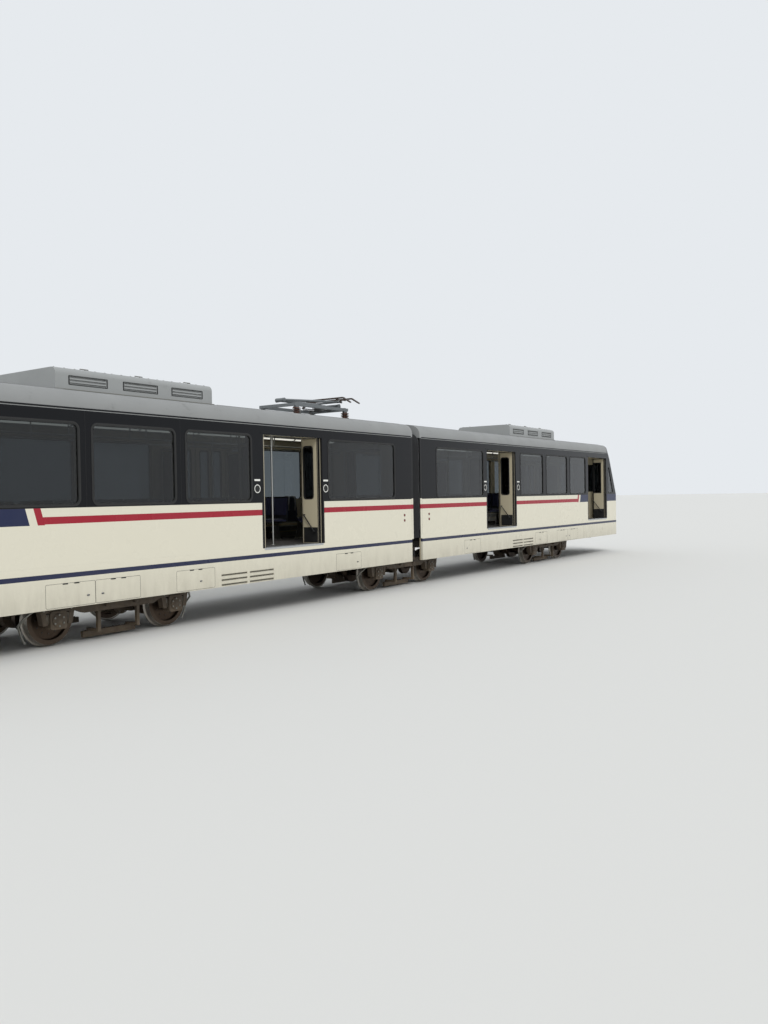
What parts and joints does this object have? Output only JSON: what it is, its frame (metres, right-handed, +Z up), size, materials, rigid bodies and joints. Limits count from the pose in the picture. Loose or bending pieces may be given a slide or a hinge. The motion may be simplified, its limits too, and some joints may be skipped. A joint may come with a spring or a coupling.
{
  "type": "metro car",
  "caption": "Articulated metro car: two sections on three bogies, hinged over the middle one, with folding doors standing open on one side.",
  "frame": {"origin": "middle of the car, over the middle bogie's pivot, at the plane under the wheel flanges", "axes": "+X along the car to section b, -Y to the side whose doors stand open, +Z up"},
  "size_m": [26.76, 2.666, 4.128],
  "materials": {
    "cream_paint": "satin",
    "dark_paint": "gloss",
    "roof_paint": "satin",
    "wall_lining": "satin",
    "window_glass": "polished",
    "seat_cover": "matte",
    "screen_laminate": "satin",
    "box_paint": "matte",
    "lamp_lens": "clear",
    "door_paint": "gloss",
    "underframe_paint": "matte",
    "bogie_paint": "dusty",
    "wheel_steel": "worn",
    "coupler_steel": "greasy",
    "bellows_rubber": "matte",
    "pan_copper": "worn",
    "panto_steel": "satin"
  },
  "bodies": {
    "section_a": {"side_lower_a": "cream_paint", "window_band_a": "dark_paint", "cab_lower_a": "cream_paint", "cab_upper_a": "dark_paint", "roof_a": "roof_paint", "bulkheads_a": "wall_lining", "glazing_a": "window_glass", "seats_a": "seat_cover", "screens_a": "screen_laminate", "underfloor_a": "box_paint", "roof_unit_a": "roof_paint", "lamps_a": "lamp_lens", "far_doors_a": "door_paint", "floor_a": "underframe_paint", "panto_base": "panto_steel"},
    "section_b": {"side_lower_b": "cream_paint", "window_band_b": "dark_paint", "cab_lower_b": "cream_paint", "cab_upper_b": "dark_paint", "roof_b": "roof_paint", "bulkheads_b": "wall_lining", "glazing_b": "window_glass", "seats_b": "seat_cover", "screens_b": "screen_laminate", "underfloor_b": "box_paint", "roof_unit_b": "roof_paint", "lamps_b": "lamp_lens", "far_doors_b": "door_paint", "floor_b": "underframe_paint"},
    "bogie_a": {"bogie_frame_a": "bogie_paint"},
    "bogie_b": {"bogie_frame_b": "bogie_paint"},
    "bogie_c": {"bogie_frame_c": "bogie_paint", "gangway_frame": "bellows_rubber"},
    "wheelset_a1": {"wheelset_a1": "wheel_steel"},
    "wheelset_a2": {"wheelset_a2": "wheel_steel"},
    "wheelset_c1": {"wheelset_c1": "wheel_steel"},
    "wheelset_c2": {"wheelset_c2": "wheel_steel"},
    "wheelset_b1": {"wheelset_b1": "wheel_steel"},
    "wheelset_b2": {"wheelset_b2": "wheel_steel"},
    "coupler_a": {"coupler_a": "coupler_steel"},
    "coupler_b": {"coupler_b": "coupler_steel"},
    "door_a1_left_post": {"door_a1_left_post": "door_paint"},
    "door_a1_left_edge": {"door_a1_left_edge": "door_paint"},
    "door_a1_right_post": {"door_a1_right_post": "door_paint"},
    "door_a1_right_edge": {"door_a1_right_edge": "door_paint"},
    "door_a2_left_post": {"door_a2_left_post": "door_paint"},
    "door_a2_left_edge": {"door_a2_left_edge": "door_paint"},
    "door_a2_right_post": {"door_a2_right_post": "door_paint"},
    "door_a2_right_edge": {"door_a2_right_edge": "door_paint"},
    "door_b1_left_post": {"door_b1_left_post": "door_paint"},
    "door_b1_left_edge": {"door_b1_left_edge": "door_paint"},
    "door_b1_right_post": {"door_b1_right_post": "door_paint"},
    "door_b1_right_edge": {"door_b1_right_edge": "door_paint"},
    "door_b2_left_post": {"door_b2_left_post": "door_paint"},
    "door_b2_left_edge": {"door_b2_left_edge": "door_paint"},
    "door_b2_right_post": {"door_b2_right_post": "door_paint"},
    "door_b2_right_edge": {"door_b2_right_edge": "door_paint"},
    "panto_lower": {"panto_lower": "panto_steel"},
    "panto_upper": {"panto_upper": "panto_steel"},
    "panto_pan": {"panto_pan": "pan_copper"}
  },
  "joints": [
    {"name": "joint_turn", "type": "hinge", "parent": "section_a", "child": "section_b", "pos_m": [0, 0, 0.94], "axis": [0, 0, 1], "range_deg": [-9, 9]},
    {"name": "bogie_c_turn", "type": "hinge", "parent": "section_a", "child": "bogie_c", "pos_m": [0, 0, 0.94], "axis": [0, 0, 1], "range_deg": [-4.5, 4.5]},
    {"name": "bogie_a_turn", "type": "hinge", "parent": "section_a", "child": "bogie_a", "pos_m": [-7.72, 0, 0.94], "axis": [0, 0, 1], "range_deg": [-8, 8]},
    {"name": "bogie_b_turn", "type": "hinge", "parent": "section_b", "child": "bogie_b", "pos_m": [7.72, 0, 0.94], "axis": [0, 0, 1], "range_deg": [-8, 8]},
    {"name": "wheelset_a1_roll", "type": "hinge", "parent": "bogie_a", "child": "wheelset_a1", "pos_m": [-8.77, 0, 0.388], "axis": [0, 1, 0], "continuous": true},
    {"name": "wheelset_a2_roll", "type": "hinge", "parent": "bogie_a", "child": "wheelset_a2", "pos_m": [-6.67, 0, 0.388], "axis": [0, 1, 0], "continuous": true},
    {"name": "wheelset_c1_roll", "type": "hinge", "parent": "bogie_c", "child": "wheelset_c1", "pos_m": [-1.05, 0, 0.388], "axis": [0, 1, 0], "continuous": true},
    {"name": "wheelset_c2_roll", "type": "hinge", "parent": "bogie_c", "child": "wheelset_c2", "pos_m": [1.05, 0, 0.388], "axis": [0, 1, 0], "continuous": true},
    {"name": "wheelset_b1_roll", "type": "hinge", "parent": "bogie_b", "child": "wheelset_b1", "pos_m": [6.67, 0, 0.388], "axis": [0, 1, 0], "continuous": true},
    {"name": "wheelset_b2_roll", "type": "hinge", "parent": "bogie_b", "child": "wheelset_b2", "pos_m": [8.77, 0, 0.388], "axis": [0, 1, 0], "continuous": true},
    {"name": "coupler_a_swing", "type": "hinge", "parent": "section_a", "child": "coupler_a", "pos_m": [-12.3, 0, 0.56], "axis": [0, 0, 1], "range_deg": [-12, 12]},
    {"name": "coupler_b_swing", "type": "hinge", "parent": "section_b", "child": "coupler_b", "pos_m": [12.3, 0, 0.56], "axis": [0, 0, 1], "range_deg": [-12, 12]},
    {"name": "door_a1_left_swing", "type": "hinge", "parent": "section_a", "child": "door_a1_left_post", "pos_m": [-4.88, -1.275, 2.155], "axis": [0, 0, 1], "range_deg": [-90, 0]},
    {"name": "door_a1_left_fold", "type": "hinge", "parent": "door_a1_left_post", "child": "door_a1_left_edge", "pos_m": [-4.8605, -0.887, 2.155], "axis": [0, 0, 1], "range_deg": [0, 180]},
    {"name": "door_a1_right_swing", "type": "hinge", "parent": "section_a", "child": "door_a1_right_post", "pos_m": [-3.32, -1.275, 2.155], "axis": [0, 0, 1], "range_deg": [0, 90]},
    {"name": "door_a1_right_fold", "type": "hinge", "parent": "door_a1_right_post", "child": "door_a1_right_edge", "pos_m": [-3.3395, -0.887, 2.155], "axis": [0, 0, 1], "range_deg": [-180, 0]},
    {"name": "door_a2_left_swing", "type": "hinge", "parent": "section_a", "child": "door_a2_left_post", "pos_m": [-11.63, -1.275, 2.155], "axis": [0, 0, 1], "range_deg": [-90, 0]},
    {"name": "door_a2_left_fold", "type": "hinge", "parent": "door_a2_left_post", "child": "door_a2_left_edge", "pos_m": [-11.6105, -0.892, 2.155], "axis": [0, 0, 1], "range_deg": [0, 180]},
    {"name": "door_a2_right_swing", "type": "hinge", "parent": "section_a", "child": "door_a2_right_post", "pos_m": [-10.09, -1.275, 2.155], "axis": [0, 0, 1], "range_deg": [0, 90]},
    {"name": "door_a2_right_fold", "type": "hinge", "parent": "door_a2_right_post", "child": "door_a2_right_edge", "pos_m": [-10.1095, -0.892, 2.155], "axis": [0, 0, 1], "range_deg": [-180, 0]},
    {"name": "door_b1_left_swing", "type": "hinge", "parent": "section_b", "child": "door_b1_left_post", "pos_m": [3.32, -1.275, 2.155], "axis": [0, 0, 1], "range_deg": [-90, 0]},
    {"name": "door_b1_left_fold", "type": "hinge", "parent": "door_b1_left_post", "child": "door_b1_left_edge", "pos_m": [3.3395, -0.887, 2.155], "axis": [0, 0, 1], "range_deg": [0, 180]},
    {"name": "door_b1_right_swing", "type": "hinge", "parent": "section_b", "child": "door_b1_right_post", "pos_m": [4.88, -1.275, 2.155], "axis": [0, 0, 1], "range_deg": [0, 90]},
    {"name": "door_b1_right_fold", "type": "hinge", "parent": "door_b1_right_post", "child": "door_b1_right_edge", "pos_m": [4.8605, -0.887, 2.155], "axis": [0, 0, 1], "range_deg": [-180, 0]},
    {"name": "door_b2_left_swing", "type": "hinge", "parent": "section_b", "child": "door_b2_left_post", "pos_m": [10.09, -1.275, 2.155], "axis": [0, 0, 1], "range_deg": [-90, 0]},
    {"name": "door_b2_left_fold", "type": "hinge", "parent": "door_b2_left_post", "child": "door_b2_left_edge", "pos_m": [10.1095, -0.892, 2.155], "axis": [0, 0, 1], "range_deg": [0, 180]},
    {"name": "door_b2_right_swing", "type": "hinge", "parent": "section_b", "child": "door_b2_right_post", "pos_m": [11.63, -1.275, 2.155], "axis": [0, 0, 1], "range_deg": [0, 90]},
    {"name": "door_b2_right_fold", "type": "hinge", "parent": "door_b2_right_post", "child": "door_b2_right_edge", "pos_m": [11.6105, -0.892, 2.155], "axis": [0, 0, 1], "range_deg": [-180, 0]},
    {"name": "panto_raise", "type": "hinge", "parent": "section_a", "child": "panto_lower", "pos_m": [-1.45, 0, 3.966], "axis": [0, 1, 0], "range_deg": [0, 50]},
    {"name": "panto_unfold", "type": "hinge", "parent": "panto_lower", "child": "panto_upper", "pos_m": [-2.95, 0, 4], "axis": [0, 1, 0], "range_deg": [-100, 0]},
    {"name": "panto_level", "type": "hinge", "parent": "panto_upper", "child": "panto_pan", "pos_m": [-1.5, 0, 4.05], "axis": [0, 1, 0], "range_deg": [0, 50]}
  ],
  "couplings": [
    {"joint": "bogie_c_turn", "follows": "joint_turn", "ratio": 0.5},
    {"joint": "door_a1_left_fold", "follows": "door_a1_left_swing", "ratio": -2},
    {"joint": "door_a1_right_fold", "follows": "door_a1_right_swing", "ratio": -2},
    {"joint": "door_a2_left_fold", "follows": "door_a2_left_swing", "ratio": -2},
    {"joint": "door_a2_right_fold", "follows": "door_a2_right_swing", "ratio": -2},
    {"joint": "door_b1_left_fold", "follows": "door_b1_left_swing", "ratio": -2},
    {"joint": "door_b1_right_fold", "follows": "door_b1_right_swing", "ratio": -2},
    {"joint": "door_b2_left_fold", "follows": "door_b2_left_swing", "ratio": -2},
    {"joint": "door_b2_right_fold", "follows": "door_b2_right_swing", "ratio": -2},
    {"joint": "panto_unfold", "follows": "panto_raise", "ratio": -2},
    {"joint": "panto_level", "follows": "panto_raise", "ratio": 1}
  ]
}
